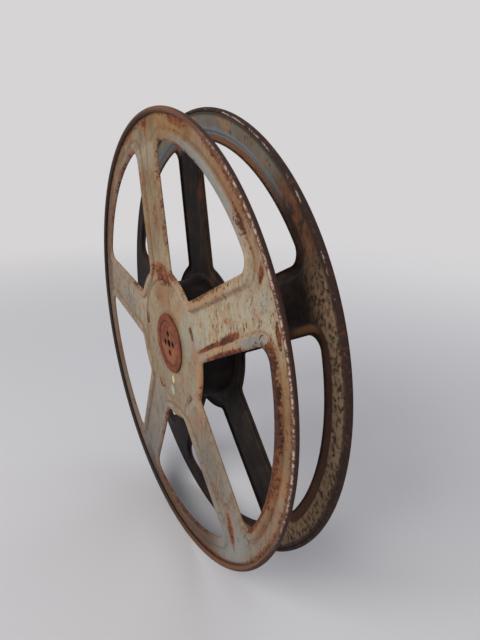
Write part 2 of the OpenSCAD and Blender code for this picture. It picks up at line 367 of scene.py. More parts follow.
def rust_group():
    """Rust that breaks through where Amount is high: its colour, its mask, the stain round it
    and its height."""
    tree, given, out = shader_group("rust", (
        ("Amount", FLOAT, 0.3), ("Darkness", FLOAT, 0.3)), (
        ("Colour", COLOUR), ("Mask", FLOAT), ("Stain", FLOAT), ("Height", FLOAT)))
    blotch = noise(tree, 105.0, 9.0, 0.74)
    grain = noise(tree, 420.0, 6.0, 0.7)
    field = calc(tree, "MULTIPLY_ADD", grain, 0.5, calc(tree, "MULTIPLY", blotch, 0.5))
    push = calc(tree, "ADD", field, given["Amount"])
    mask = ramp(tree, push, 0.91, 1.02)
    stain = ramp(tree, push, 0.60, 0.98)
    tone = noise(tree, 230.0, 8.0, 0.76, shift=(3.1, 1.7, 0.4))
    light = mix(tree, ramp(tree, tone, 0.42, 0.60), srgb(86, 44, 27), srgb(162, 95, 53))
    dark = mix(tree, ramp(tree, tone, 0.38, 0.60), srgb(34, 20, 16), srgb(84, 45, 30))
    deep = calc(tree, "MAXIMUM", given["Darkness"], ramp(tree, push, 1.06, 1.26, 0.0, 0.65))
    colour = mix(tree, deep, light, dark)
    height = calc(tree, "MULTIPLY", mask, calc(tree, "MULTIPLY_ADD", grain, 0.8, 0.3))
    put_out(tree, out, Colour=colour, Mask=mask, Stain=stain, Height=height)
    return tree


def paint_group():
    """Old stove paint: its colour with cool and warm clouds, rain streaks and fine specks."""
    tree, given, out = shader_group("old_paint", (
        ("Colour", COLOUR, (0.5, 0.45, 0.36, 1)), ("Dirt", FLOAT, 0.4)), (
        ("Colour", COLOUR), ("Height", FLOAT)))
    cloud = noise(tree, 21.0, 6.0, 0.66)
    cool = mix(tree, ramp(tree, cloud, 0.46, 0.64, 0.0, 0.8), given["Colour"], srgb(152, 152, 140))
    warm_at = ramp(tree, noise(tree, 34.0, 8.0, 0.7, shift=(5.2, 0.3, 2.2)), 0.50, 0.66, 0.0, 0.8)
    warm = mix(tree, warm_at, cool, srgb(170, 128, 86))
    streak = noise(tree, 60.0, 6.0, 0.68, stretch=(2.0, 2.0, 0.6))
    dirty = calc(tree, "MULTIPLY", ramp(tree, streak, 0.48, 0.68), given["Dirt"])
    colour = mix(tree, dirty, warm, srgb(130, 110, 87))
    mottle = ramp(tree, noise(tree, 150.0, 8.0, 0.75, shift=(8.0, 1.0, 3.0)), 0.48, 0.66, 0.0, 0.75)
    colour = mix(tree, calc(tree, "MULTIPLY", mottle, given["Dirt"]), colour, srgb(138, 98, 64))
    speck = noise(tree, 330.0, 4.0, 0.6, stretch=(1.2, 1.2, 0.6), shift=(0.7, 9.1, 4.0))
    few = ramp(tree, noise(tree, 16.0, 4.0, 0.6, shift=(3.3, 6.1, 0.8)), 0.42, 0.66, 0.075, 0.0)
    speck = ramp(tree, calc(tree, "SUBTRACT", speck, few), 0.56, 0.63)
    speck = calc(tree, "MULTIPLY", speck, given["Dirt"])
    colour = mix(tree, speck, colour, srgb(74, 44, 29))
    put_out(tree, out, Colour=colour, Height=noise(tree, 900.0, 2.0, 0.5))
    return tree


pressing_map = pressing_map_group()
patch = patch_group()
rust = rust_group()
old_paint = paint_group()


def new_material(name, metallic=0.0, specular=0.35):
    made = bpy.data.materials.new(name)
    made.use_nodes = True
    skin = made.node_tree.nodes["Principled BSDF"]
    skin.inputs["Metallic"].default_value = metallic
    skin.inputs["Specular IOR Level"].default_value = specular
    return made, made.node_tree, skin


def finish_skin(tree, skin, colour, roughness, height, depth_mm):
    """Links the colour, the roughness and a bump of that depth to the material's shader."""
    tree.links.new(colour, skin.inputs["Base Color"])
    tree.links.new(roughness, skin.inputs["Roughness"])
    bump = add(tree, "ShaderNodeBump", {"Height": height, "Distance": depth_mm * MM,
               "Strength": 1.0})
    tree.links.new(bump.outputs[0], skin.inputs["Normal"])


def spot(tree, angle, r, wide, tall, turn=0.0):
    """A patch by its angle and radius on the reel's face, turned by that many degrees."""
    at = polar(r, angle)
    return use(tree, patch, X=at.x, Z=at.y, Wide=wide, Tall=tall, Turn=math.radians(turn))["Mask"]


# Outside of the pressings: pale grey paint, rusting from the windows' edges, along the steps
# of the borders, at the rim and in streaks and patches where rain has stood. Painted shade
# darkens it towards the bottom and the left, in the borders' grooves and under the rolled rim,
# and painted skylight cools the borders.
def outside_paint():
    made, tree, skin = new_material("worn_paint_outside")
    at = use(tree, pressing_map)
    edge = ramp(tree, at["Window"], 5.2, 1.4)
    step = band(tree, at["Window"], 9.4, 2.0)
    border = ramp(tree, at["Window"], 9.2, 6.2)
    rim = ramp(tree, at["Radius"], 185.0, 195.0)
    middle = band(tree, at["Radius"], 59.0, 2.2)

    patchy = ramp(tree, noise(tree, 11.0, 3.0, 0.55, shift=(1.3, 0, 2.9)), 0.34, 0.66, 0.45, 1.35)
    general = total(tree, product(tree, edge, 0.20), product(tree, step, 0.14),
                    product(tree, border, 0.08), product(tree, rim, 0.30),
                    product(tree, middle, 0.14))
    top_root = product(tree, spot(tree, 95, 64, 38, 18), 0.50)
    low_tab = product(tree, spot(tree, -118, 58, 6, 9, 30), 0.50)
    top_rim = product(tree, spot(tree, 78, 189, 34, 11, -12), 0.22)
    top_stain = product(tree, spot(tree, 99, 186, 9, 18), 0.30)
    top_mark = product(tree, spot(tree, 98, 114, 15, 26), 0.30)
    arc_edge = product(tree, spot(tree, 56, 174, 70, 60), edge, -0.14)
    ledge = calc(tree, "MAXIMUM", spot(tree, 20.8, 122, 34, 5.0, 30.5),
                 spot(tree, 17.7, 91, 46, 3.4, 30.5))
    ledge = product(tree, ledge, 0.58)
    low_spot = product(tree, spot(tree, 14, 114, 46, 12, 27), edge)
    low_edge = product(tree, low_spot, 0.50)
    right_arc = product(tree, spot(tree, -22, 182, 36, 90),
                        total(tree, product(tree, edge, 0.48), product(tree, step, 0.12)))
    low_end = product(tree, spot(tree, -47.5, 168, 26, 8, -72), 0.56)
    corners = calc(tree, "MAXIMUM", spot(tree, 32.2, 185, 14, 5, 80),
                   spot(tree, 20.7, 188, 16, 4.5, 110))
    corners = product(tree, corners, 0.42)
    clumps = ramp(tree, noise(tree, 75.0, 3.0, 0.6, shift=(4, 2, 6)), 0.42, 0.56, 0.62, 1.3)
    blotches = product(tree, spot(tree, 2, 178, 40, 100), ramp(tree, at["Window"], 10.5, 5.6),
                       clumps, 0.60)
    arc_spots = product(tree, spot(tree, 43, 183, 30, 6, -50), 0.24)
    arc_step = product(tree, spot(tree, 48, 188, 60, 60), ramp(tree, at["Window"], 8.0, 11.0), 0.10)
    marks = noise(tree, 190.0, 4.0, 0.62, stretch=(2.0, 2.0, 0.8), shift=(0.2, 0.1, 0.9))
    marks = product(tree, ramp(tree, marks, 0.54, 0.66), spot(tree, 26, 136, 86, 66), 0.42)
    local = total(tree, top_root, low_tab, top_rim, top_stain, top_mark, arc_edge, ledge, low_edge,
                  right_arc, low_end, corners, blotches, arc_spots, arc_step, marks)
    amount = total(tree, product(tree, general, patchy), product(tree, local, at["Front"]), 0.16)
    black = calc(tree, "MAXIMUM", spot(tree, 8, 180, 36, 64), spot(tree, 43, 182, 26, 8, -50))
    black = total(tree, product(tree, black, 0.8), product(tree, spot(tree, -80, 182, 64, 30), 0.5))
    dark = total(tree, product(tree, rim, 0.30), product(tree, edge, 0.35), black,
                 product(tree, low_spot, -0.5), 0.20)
    rusty = use(tree, rust, Amount=amount, Darkness=dark)

    paint = use(tree, old_paint, Colour=srgb(172, 162, 138), Dirt=0.75)

    def shade(mask, tint):
        """Darkens and tints what is painted so far, and keeps its grain."""
        return mix(tree, mask, colour, tint, "MULTIPLY")

    arc_only = ramp(tree, at["Radius"], 170.0, 178.0)
    shaded_left_arc = product(tree, ramp(tree, at["Side"], -100, -170), arc_only)
    cloudy = noise(tree, 30.0, 5.0, 0.65, shift=(2, 7, 5))
    top_left = product(tree, ramp(tree, at["Side"], 110, 60), ramp(tree, at["Up"], 20, 75),
                       arc_only, ramp(tree, cloudy, 0.36, 0.60, 0.5, 1.0))
    top_right = product(tree, spot(tree, 50, 190, 90, 90), calc(tree, "SUBTRACT", 1.0, border))
    shaded_low_arc = product(tree, ramp(tree, at["Up"], -110, -150), ramp(tree, at["Side"], -105, -55),
                       ramp(tree, at["Side"], 104, 64), arc_only)
    right_edge = product(tree, spot(tree, -10, 180, 44, 124),
                         ramp(tree, border, 0.0, 1.0, 0.5, 1.0))
    # Dirt and painted shade in the groove at the foot of each border's step, patchy.
    foot = product(tree, band(tree, at["Window"], 9.4, 2.2),
                   ramp(tree, patchy, 0.45, 1.35, 0.5, 1.0))
    colour = paint["Colour"]
    # Painted shade: darker and cooler towards the bottom.
    colour = shade(ramp(tree, at["Up"], 40, -140), srgb(194, 197, 210))
    # Painted shade round the edge of the sunk middle, strongest at the upper left.
    upper_left = total(tree, at["Up"], product(tree, at["Side"], -0.5))
    middle_edge_shade = product(tree, middle, ramp(tree, upper_left, -30, 40, 0.2, 0.9))
    colour = shade(calc(tree, "MAXIMUM", foot, middle_edge_shade), srgb(204, 194, 184))
    plain = colour
    # Painted shade: darker towards the left, most on the arcs at the far left.
    colour = shade(ramp(tree, at["Side"], 20, -170), srgb(226, 218, 218))
    colour = shade(shaded_left_arc, srgb(186, 180, 180))
    colour = shade(top_left, srgb(182, 166, 142))
    colour = shade(spot(tree, 99, 120, 60, 86), srgb(212, 197, 176))
    colour = shade(spot(tree, 105, 46, 32, 22), srgb(238, 208, 180))
    # More painted shade on the lower spoke.
    colour = shade(spot(tree, -40, 108, 44, 52), srgb(224, 218, 214))
    colour = shade(top_right, srgb(206, 183, 167))
    colour = shade(ramp(tree, at["Radius"], 62, 54), srgb(240, 230, 216))
    warm = calc(tree, "MAXIMUM", spot(tree, 27, 112, 100, 62), spot(tree, -8, 67, 16, 40))
    warm = product(tree, warm, border, 0.68)
    colour = mix(tree, warm, colour, srgb(170, 126, 80))
    colour = shade(right_edge, srgb(219, 172, 118))
    colour = shade(product(tree, spot(tree, 6, 186, 26, 60), arc_only), srgb(214, 188, 158))
    colour = shade(spot(tree, 82, 190, 78, 26), srgb(252, 226, 164))
    # Painted shade, a little brown, on the arc along the bottom.
    colour = shade(shaded_low_arc, srgb(142, 126, 120))
    low_blue = product(tree, spot(tree, -50, 189, 52, 48), 0.55)
    colour = mix(tree, low_blue, colour, srgb(142, 150, 147))
    # Painted shadow in the gap under the rolled rim, along the bottom.
    roll_gap_shadow = product(tree, band(tree, at["Radius"], 194.8, 2.4), ramp(tree, at["Up"], -70, -150))
    colour = shade(roll_gap_shadow, srgb(96, 86, 80))
    pale = product(tree, spot(tree, 34, 48, 24, 34), 0.45)
    colour = mix(tree, pale, colour, srgb(164, 166, 150))
    dab = product(tree, spot(tree, -86, 36, 3.6, 6.6), 1.6)
    colour = mix(tree, ramp(tree, dab, 0.5, 0.8), colour, srgb(222, 208, 140))
    wash = ramp(tree, spot(tree, -90, 48, 8.0, 10.0), 0.35, 0.8, 0.0, 0.7)
    colour = mix(tree, wash, colour, srgb(176, 186, 172))
    colour = mix(tree, at["Front"], plain, colour)
    colour = mix(tree, product(tree, rusty["Stain"], 0.46), colour, srgb(146, 96, 54))
    # Painted skylight: the borders turn a cool, darker grey.
    border_skylight = calc(tree, "MAXIMUM", spot(tree, 60, 172, 90, 80), spot(tree, 19.9, 160, 36, 8, 23))
    border_skylight = product(tree, border_skylight, border, at["Front"], 0.72)
    colour = mix(tree, border_skylight, colour, srgb(122, 130, 130))
    low_border = product(tree, spot(tree, -69, 181, 62, 34), ramp(tree, at["Window"], 11.5, 7.5),
                         at["Front"], 0.6)
    colour = mix(tree, low_border, colour, srgb(78, 58, 50))
    colour = mix(tree, rusty["Mask"], colour, rusty["Colour"])
    rough = ramp(tree, rusty["Mask"], 0.0, 1.0, 0.55, 0.88)
    height = calc(tree, "MULTIPLY_ADD", paint["Height"], 0.12, rusty["Height"])
    finish_skin(tree, skin, colour, rough, height, 0.25)
    return made


# Film side of the pressings: the same paint gone nearly black with oil, dirt and rust and with
# painted shade from the front flange, grey again near the top, where the windows' borders are
# orange, and worn to a speckled buff on the flat strip under the rim along the right. Painted
# skylight lies on the borders' slopes near the top, a painted highlight on one spoke's border
# and painted shade on the windows' turned-in edges.
def film_side():
    made, tree, skin = new_material("film_side", specular=0.2)
    at = use(tree, pressing_map)
    ragged = calc(tree, "MULTIPLY", noise(tree, 24.0, 5.0, 0.65, shift=(4.4, 0, 1.2)), 60.0)
    high = product(tree, ramp(tree, calc(tree, "ADD", at["Up"], ragged), 152.0, 192.0),
                   ramp(tree, at["Radius"], 166.0, 176.0))
    flat = ramp(tree, at["Window"], 6.6, 9.2)
    worn_at = product(tree, ramp(tree, calc(tree, "ADD", at["Up"], ragged), 158.0, 108.0), flat,
                      ramp(tree, at["Radius"], 166.0, 186.0), ramp(tree, at["Side"], 10.0, 80.0))
    # Nearly black: oil, dirt and rust, and painted shade from the front flange.
    dirt_and_shade = ramp(tree, noise(tree, 60.0, 6.0, 0.65), 0.42, 0.62)
    dirt_and_shade = mix(tree, dirt_and_shade, srgb(30, 23, 20), srgb(52, 39, 31))
    streaks = noise(tree, 48.0, 6.0, 0.7, stretch=(2.0, 1.0, 0.7), shift=(6, 1, 2))
    streaks = ramp(tree, streaks, 0.50, 0.64)
    streaks = product(tree, streaks, ramp(tree, at["Up"], 20.0, 90.0), 0.4)
    dirt_and_shade = mix(tree, streaks, dirt_and_shade, srgb(112, 66, 38))
    specks = noise(tree, 340.0, 7.0, 0.74, stretch=(1, 1, 0.7), shift=(2, 2, 2))
    specks = ramp(tree, specks, 0.46, 0.60)
    worn = mix(tree, specks, srgb(142, 117, 91), srgb(56, 35, 25))
    paint = use(tree, old_paint, Colour=srgb(124, 114, 100), Dirt=0.8)
    dulled = mix(tree, 1.0, paint["Colour"], srgb(222, 230, 242), "MULTIPLY")
    colour = mix(tree, high, dirt_and_shade, dulled)
    colour = mix(tree, worn_at, colour, worn)
    rust_run = noise(tree, 130.0, 8.0, 0.78, stretch=(1.8, 1, 0.7), shift=(9, 4, 3))
    rust_run = product(tree, spot(tree, 44, 190, 42, 50), flat, ramp(tree, rust_run, 0.42, 0.60),
                       0.85)
    colour = mix(tree, rust_run, colour, srgb(122, 72, 38))
    hollow = product(tree, ramp(tree, at["Side"], 60.0, 110.0), ramp(tree, at["Up"], 125.0, 90.0),
                     ramp(tree, at["Radius"], 170.0, 176.0), ramp(tree, flat, 1.0, 0.0), 0.55)
    colour = mix(tree, hollow, colour, srgb(84, 54, 38))
    arc_only = product(tree, high, ramp(tree, at["Radius"], 160.0, 172.0))
    # Painted skylight: a blue-grey band on the borders' slopes near the top.
    border_slope_skylight = product(tree, arc_only, band(tree, at["Window"], 7.8, 4.4), 0.85)
    colour = mix(tree, border_slope_skylight, colour, srgb(126, 136, 144))
    lit_border = product(tree, arc_only, ramp(tree, at["Window"], 5.4, 4.2), 0.8)
    colour = mix(tree, lit_border, colour, srgb(128, 80, 46))
    # Painted highlight: tan light on the border along one spoke's edge.
    lit_spoke_border = product(tree, spot(tree, 20, 160, 26, 8, 27), ramp(tree, at["Window"], 8.0, 5.5), 0.9)
    colour = mix(tree, lit_spoke_border, colour, srgb(150, 106, 66))
    colour = mix(tree, ramp(tree, at["Radius"], 193.2, 195.4, 0.0, 0.8), colour, srgb(44, 31, 25))
    edge = product(tree, ramp(tree, at["Window"], 4.0, 0.5), 0.22)
    rusty = use(tree, rust, Amount=total(tree, edge, 0.26),
                Darkness=ramp(tree, high, 0.0, 1.0, 0.8, 0.35))
    colour = mix(tree, rusty["Mask"], colour, rusty["Colour"])
    # Painted shade: the windows' turned-in edges go near black.
    colour = mix(tree, ramp(tree, at["Window"], 1.6, 0.9, 0.0, 0.8), colour, srgb(40, 28, 22))
    rough = ramp(tree, rusty["Mask"], 0.0, 1.0, 0.62, 0.88)
    height = calc(tree, "MULTIPLY_ADD", specks, 0.3, rusty["Height"])
    finish_skin(tree, skin, colour, rough, height, 0.25)
    return made


front_flange = pressed_flange("front_pressing", -1, painted=18)
rear_flange = pressed_flange("rear_pressing", 1, painted=15)
paint_out, paint_in = outside_paint(), film_side()
for pressing, node_name in ((front_flange, "front_flange"), (rear_flange, "rear_flange")):
    pressing.data.materials.append(paint_out)
    pressing.data.materials.append(paint_in)
    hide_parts(node_name)
    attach(pressing, "reel")

# Rolled rims. The edge of each pressing is rolled outwards into a hollow bead, with its free
# edge just off the sheet; the paint is gone from the bead, which is brown with rust and
# chipped to bright specks on its crest, bare metal with painted glints. Painted shade darkens
# its left side and a painted highlight runs along its crest.
roll_middle = 197.7
roll_height = 1.9
roll_radius = 1.8
roll_first, roll_sweep = -112, 305
roll_around, roll_across = 289, 30


def end_tree(tree, geometry, material):
    """The end of a geometry tree: instances made real, and the material set."""
    real = add(tree, "GeometryNodeRealizeInstances", {"Geometry": geometry}).outputs[0]
    made = add(tree, "GeometryNodeSetMaterial", {"Geometry": real, "Material": material}).outputs[0]
    tree.links.new(made, tree.nodes.new("NodeGroupOutput").inputs[0])


def rim_roll_tree():
    """A strip bent round the rim and rolled up, from a grid that is Around long."""
    tree = bpy.data.node_groups.new("rim_roll", "GeometryNodeTree")
    for label, kind, value in (
            ("Rim Radius", FLOAT, 0.2), ("Roll Radius", FLOAT, 0.0018), ("Place", FLOAT, 0.0),
            ("Facing", FLOAT, -1.0), ("Start", FLOAT, -1.9), ("Sweep", FLOAT, 5.0),
            ("Around", "NodeSocketInt", 240), ("Across", "NodeSocketInt", 24)):
        tree.interface.new_socket(label, in_out="INPUT", socket_type=kind).default_value = value
    tree.interface.new_socket("Material", in_out="INPUT", socket_type="NodeSocketMaterial")
    tree.interface.new_socket("Geometry", in_out="OUTPUT", socket_type="NodeSocketGeometry")
    given = tree.nodes.new("NodeGroupInput").outputs
    grid = add(tree, "GeometryNodeMeshGrid", {
        "Size X": 1.0, "Size Y": 1.0, "Vertices X": given["Around"],
        "Vertices Y": given["Across"]}).outputs["Mesh"]
    at = add(tree, "GeometryNodeInputPosition").outputs[0]
    at = add(tree, "ShaderNodeSeparateXYZ", {0: at}).outputs
    turn = calc(tree, "MULTIPLY", calc(tree, "ADD", at[0], 0.5), 2 * math.pi)
    bend = calc(tree, "MULTIPLY_ADD", calc(tree, "ADD", at[1], 0.5), given["Sweep"], given["Start"])
    r = calc(tree, "COSINE", bend)
    r = calc(tree, "MULTIPLY_ADD", r, given["Roll Radius"], given["Rim Radius"])
    rise = calc(tree, "MULTIPLY", calc(tree, "SINE", bend), given["Roll Radius"])
    place = add(tree, "ShaderNodeCombineXYZ", {
        0: calc(tree, "MULTIPLY", r, calc(tree, "COSINE", turn)),
        1: calc(tree, "MULTIPLY_ADD", rise, given["Facing"], given["Place"]),
        2: calc(tree, "MULTIPLY", r, calc(tree, "SINE", turn))}).outputs[0]
    bent = add(tree, "GeometryNodeSetPosition", {"Geometry": grid, "Position": place}).outputs[0]
    closed = add(tree, "GeometryNodeMergeByDistance", {"Geometry": bent,
                 "Distance": 1e-6}).outputs[0]
    smooth = add(tree, "GeometryNodeSetShadeSmooth", {"Geometry": closed}).outputs[0]
    end_tree(tree, smooth, given["Material"])
    return tree


def grown(name, tree, values, wall=0.0):
    """What a node tree makes with those values, as a plain mesh object, with a wall if asked."""
    holder = linked(name + "_holder", bpy.data.meshes.new(name + "_holder"))
    grow = holder.modifiers.new("grow", "NODES")
    grow.node_group = tree
    for item in tree.interface.items_tree:
        if item.in_out == "INPUT" and item.name in values:
            grow[item.identifier] = values[item.name]
    if wall:
        thick = holder.modifiers.new("wall", "SOLIDIFY")
        thick.thickness = wall
        thick.offset = 0.0
        thick.use_even_offset = True
    ready = holder.evaluated_get(bpy.context.evaluated_depsgraph_get())
    mesh = bpy.data.meshes.new_from_object(ready)
    mesh.name = name
    bpy.data.objects.remove(holder)
    bm = bmesh.new()
    bm.from_mesh(mesh)
    bmesh.ops.recalc_face_normals(bm, faces=bm.faces)
    bm.to_mesh(mesh)
    bm.free()
    return linked(name, mesh)


def rim_rust():
    made, tree, skin = new_material("rim_rust")
    at = use(tree, pressing_map)
    ragged = calc(tree, "MULTIPLY", noise(tree, 14.0, 3.0), 80.0)
    # Painted shade: the rolls go near black towards the left, brown with rust on the right.
    right = ramp(tree, calc(tree, "ADD", at["Side"], ragged), -20.0, 120.0)
    top = product(tree, ramp(tree, at["Up"], 60.0, 170.0), ramp(tree, at["Side"], 70.0, 25.0),
                  at["Front"])
    brown = mix(tree, at["Front"], srgb(44, 27, 22), srgb(56, 33, 27))
    tone = mix(tree, right, srgb(26, 23, 20), brown)
    tone = mix(tree, product(tree, top, 0.8), tone, srgb(122, 78, 50))
    low = product(tree, ramp(tree, at["Up"], -120.0, -180.0), ramp(tree, at["Side"], 60.0, 110.0),
                  at["Front"], 0.7)
    tone = mix(tree, low, tone, srgb(112, 72, 52))
    rusty = use(tree, rust, Amount=0.40, Darkness=ramp(tree, right, 0.0, 1.0, 0.9, 0.65))
    colour = mix(tree, product(tree, rusty["Mask"], 0.8), tone, rusty["Colour"])

    # Round the roll, in degrees: 0 looks out from the rim and 90 away from the film
    rise = calc(tree, "SUBTRACT", at["Depth"], half_gap + roll_height)
    reach = calc(tree, "SUBTRACT", at["Radius"], roll_middle)
    round_roll = calc(tree, "DEGREES", calc(tree, "ARCTAN2", rise, reach))
    flakes = noise(tree, 430.0, 4.0, 0.65, shift=(1, 3, 7))
    crest = product(tree, band(tree, round_roll, 68.0, 34.0), right, at["Front"],
                    ramp(tree, at["Up"], -110.0, -10.0))
    chips = product(tree, ramp(tree, flakes, 0.46, 0.55), crest, ramp(tree, at["Up"], 188.0, 150.0))
    # Painted highlight: a lighter band along the crest of the front roll, on its right.
    colour = mix(tree, product(tree, crest, 0.5), colour, srgb(128, 88, 72))
    round_roll = total(tree, round_roll, product(tree, noise(tree, 120.0, 4.0, 0.6), 50.0))
    shoulder = product(tree, ramp(tree, round_roll, 105.0, 125.0), 0.85)
    colour = mix(tree, shoulder, colour, mix(tree, right, srgb(50, 46, 41), srgb(116, 80, 56)))
    worn_line = product(tree, band(tree, round_roll, -52.0, 22.0),
                        calc(tree, "SUBTRACT", 1.0, at["Front"]))
    broken = ramp(tree, noise(tree, 40.0, 5.0, 0.75, shift=(7, 3, 1)), 0.50, 0.56)
    worn_line = product(tree, worn_line, broken, ramp(tree, at["Side"], -10.0, 50.0),
                        ramp(tree, at["Up"], 50.0, 130.0))
    # Bright specks and a broken worn line: bare metal, with painted glints.
    bright = calc(tree, "MAXIMUM", chips, product(tree, worn_line, 0.8))
    colour = mix(tree, bright, colour, srgb(190, 168, 150))
    rough = ramp(tree, bright, 0.0, 1.0, 0.82, 0.5)
    finish_skin(tree, skin, colour, rough, calc(tree, "SUBTRACT", rusty["Height"], chips), 0.2)
    return made


roll_tree = rim_roll_tree()
roll_skin = rim_rust()
for name, facing in (("front_rim_roll", -1), ("rear_rim_roll", 1)):
    roll = grown(name, roll_tree, {
        "Rim Radius": roll_middle * MM, "Roll Radius": roll_radius * MM, "Facing": float(facing),
        "Place": facing * (half_gap + roll_height) * MM, "Start": math.radians(roll_first),
        "Sweep": math.radians(roll_sweep), "Around": roll_around, "Across": roll_across,
        "Material": roll_skin}, wall=sheet * MM)
    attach(roll, "reel")

# Core drum. A strip of 1 mm steel rolled round, with both ends turned in to leave a slot for
# the end of the film; it was painted dark and has gone black inside the reel.
drum_radius = 55.0
drum_wall = 1.0
slot_angle = spoke_angle + 1.5 * spoke_step
slot_half = 2.0
lip_depth = 11.0
drum_end = half_gap - sink


def closed_bar(name, bm, rows, sharp_angle):
    """Faces between rows of points and over both ends, smooth up to that angle in degrees."""
    count = len(rows[0])
    for a, b in zip(rows, rows[1:]):
        for j in range(count):
            k = (j + 1) % count
            bm.faces.new((a[j], a[k], b[k], b[j]))
    bm.faces.new(rows[0])
    bm.faces.new(rows[-1])
    mesh = meshed(name, bm)
    mesh.shade_smooth()
    mesh.set_sharp_from_angle(angle=math.radians(sharp_angle))
    return mesh


def core_strip(name):
    """The strip from one lip round to the other, drawn along its middle line and given its wall."""
    r, off, bend = drum_radius - drum_wall / 2, slot_half + drum_wall / 2, 1.6
    bend_steps, drum_steps = 6, 150
    lip = drum_radius - lip_depth
    start = math.degrees(math.asin((off + bend) / (r - bend)))
    middle = polar(r - bend, start)
    path = [Vector((lip, off)), Vector((middle.x - 3, off)), Vector((middle.x, off))]
    path += arc(middle, bend, -90, start, bend_steps)[1:]
    lip_points = len(path)
    path += arc(Vector((0, 0)), r, start, 360 - start, drum_steps, False)
    path += [Vector((p.x, -p.y)) for p in reversed(path[:lip_points])]
    turn = Matrix.Rotation(math.radians(slot_angle), 2)
    bm = bmesh.new()
    rows = []
    for i, p in enumerate(path):
        before, after = path[max(i - 1, 0)], path[min(i + 1, len(path) - 1)]
        run = (after - before).normalized()
        out = Vector((run.y, -run.x)) * drum_wall / 2
        row = []
        for q, end in ((p + out, -1), (p - out, -1), (p - out, 1), (p + out, 1)):
            q = turn @ q
            row.append(bm.verts.new((q.x * MM, end * drum_end * MM, q.y * MM)))
        rows.append(row)
    return linked(name, closed_bar(name, bm, rows, 40))


def dark_paint(name, base, worn, amount):
    made, tree, skin = new_material(name, specular=0.15)
    tone = mix(tree, ramp(tree, noise(tree, 40.0, 5.0, 0.6), 0.42, 0.62), base, worn)
    rusty = use(tree, rust, Amount=amount, Darkness=0.65)
    colour = mix(tree, rusty["Mask"], tone, rusty["Colour"])
    rough = ramp(tree, rusty["Mask"], 0.0, 1.0, 0.7, 0.88)
    finish_skin(tree, skin, colour, rough, rusty["Height"], 0.2)
    return made


drum = core_strip("core_strip")
drum.data.materials.append(dark_paint("drum_paint", srgb(22, 18, 16), srgb(40, 32, 27), 0.26))
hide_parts("core_drum")
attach(drum, "reel")

# Clinched tabs. Tongues of the drum's strip pass through slots on the spoke axes and are
# hammered flat outwards over the sunk middle of each flange; rust creeps round them.
tab_length = 11.0
tab_fold = 3.0


def tab_blank(facing):
    """One folded tongue at angle 0, closed and softly rounded, standing on the sheet."""
    foot = drum_end + sheet
    inner, outer, end = drum_radius - drum_wall, drum_radius, drum_radius + tab_fold
    section = [(inner, foot - 1.2), (inner, foot + 0.35), (inner + 0.15, foot + 0.72),
               (inner + 0.5, foot + 0.94), (inner + 0.9, foot + 1.0), (end - 0.3, foot + 0.95),
               (end, foot + 0.75), (end, foot + 0.08), (end - 0.1, foot + 0.0),
               (outer + 0.1, foot - 0.01), (outer, foot - 0.1), (outer, foot - 1.2)]
    half = math.degrees(tab_length / 2 / drum_radius)
    steps = 8
    bm = bmesh.new()
    rows = []
    for i in range(steps + 1):
        a = -half + 2 * half * i / steps
        places = [(polar(r, a), h) for r, h in section]
        rows.append([bm.verts.new((p.x * MM, facing * h * MM, p.y * MM)) for p, h in places])
    return closed_bar("tab_blank", bm, rows, 50)


def ring_of_tree():
    """Copies of one part turned round the reel's axis by even steps."""
    tree = bpy.data.node_groups.new("ring_of", "GeometryNodeTree")
    for label, kind in (("Part", "NodeSocketObject"), ("Count", "NodeSocketInt"),
                        ("First Angle", FLOAT), ("Material", "NodeSocketMaterial")):
        tree.interface.new_socket(label, in_out="INPUT", socket_type=kind)
    tree.interface.new_socket("Geometry", in_out="OUTPUT", socket_type="NodeSocketGeometry")
    given = tree.nodes.new("NodeGroupInput").outputs
    part = add(tree, "GeometryNodeObjectInfo", {"Object": given["Part"]}).outputs["Geometry"]
    places = add(tree, "GeometryNodePoints", {"Count": given["Count"]}).outputs[0]
    step = calc(tree, "DIVIDE", -2 * math.pi, given["Count"])
    turn = calc(tree, "MULTIPLY_ADD", add(tree, "GeometryNodeInputIndex").outputs[0], step,
                calc(tree, "MULTIPLY", given["First Angle"], -1.0))
    turned = add(tree, "ShaderNodeCombineXYZ", {1: turn}).outputs[0]
    turned = add(tree, "FunctionNodeEulerToRotation", {0: turned}).outputs[0]
    copies = add(tree, "GeometryNodeInstanceOnPoints", {"Points": places, "Instance": part,
                 "Rotation": turned}).outputs[0]
    end_tree(tree, copies, given["Material"])
    return tree


ring_of = ring_of_tree()
tab_skin = dark_paint("tab_rust", srgb(142, 118, 94), srgb(108, 74, 52), 0.42)
for name, facing in (("front_tabs", -1), ("rear_tabs", 1)):
    blank = linked("blank", tab_blank(facing))
    tabs = grown(name, ring_of, {"Part": blank, "Count": spokes, "Material": tab_skin,
                                 "First Angle": math.radians(spoke_angle)})
    bpy.data.objects.remove(blank)
    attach(tabs, "reel")

# Hub plates. A turned steel disc in the middle of each flange, with a raised outer ring, the
# spindle's hole in the middle and four drive holes round it, all under red-brown rust. Its
# spigot is swaged over a ring inside the drum.
plate_face = half_gap - sink + sheet + 1.3
drive_holes = 4
drive_first, drive_ring = 9.0, 9.0


def softened(node_name, name, edge_mm):
    """A merged copy of a CAD piece with its edges broken."""
    bm = bmesh.new()
    bm.from_mesh(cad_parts[node_name].data)
    bmesh.ops.remove_doubles(bm, verts=bm.verts, dist=1e-6)
    bmesh.ops.dissolve_limit(bm, angle_limit=math.radians(1), verts=bm.verts, edges=bm.edges)
    mesh = bpy.data.meshes.new(name)
    bm.to_mesh(mesh)
    bm.free()
    mesh.materials.clear()
    made = linked(name, mesh)
    broken = made.modifiers.new("edges", "BEVEL")
    broken.width = edge_mm * MM
    broken.segments = 2
    broken.limit_method = "ANGLE"
    broken.angle_limit = math.radians(40)
    ready = made.evaluated_get(bpy.context.evaluated_depsgraph_get())
    done = bpy.data.meshes.new_from_object(ready)
    made.modifiers.clear()
    made.data = done
    done.shade_smooth()
    done.set_sharp_from_angle(angle=math.radians(35))
    return made


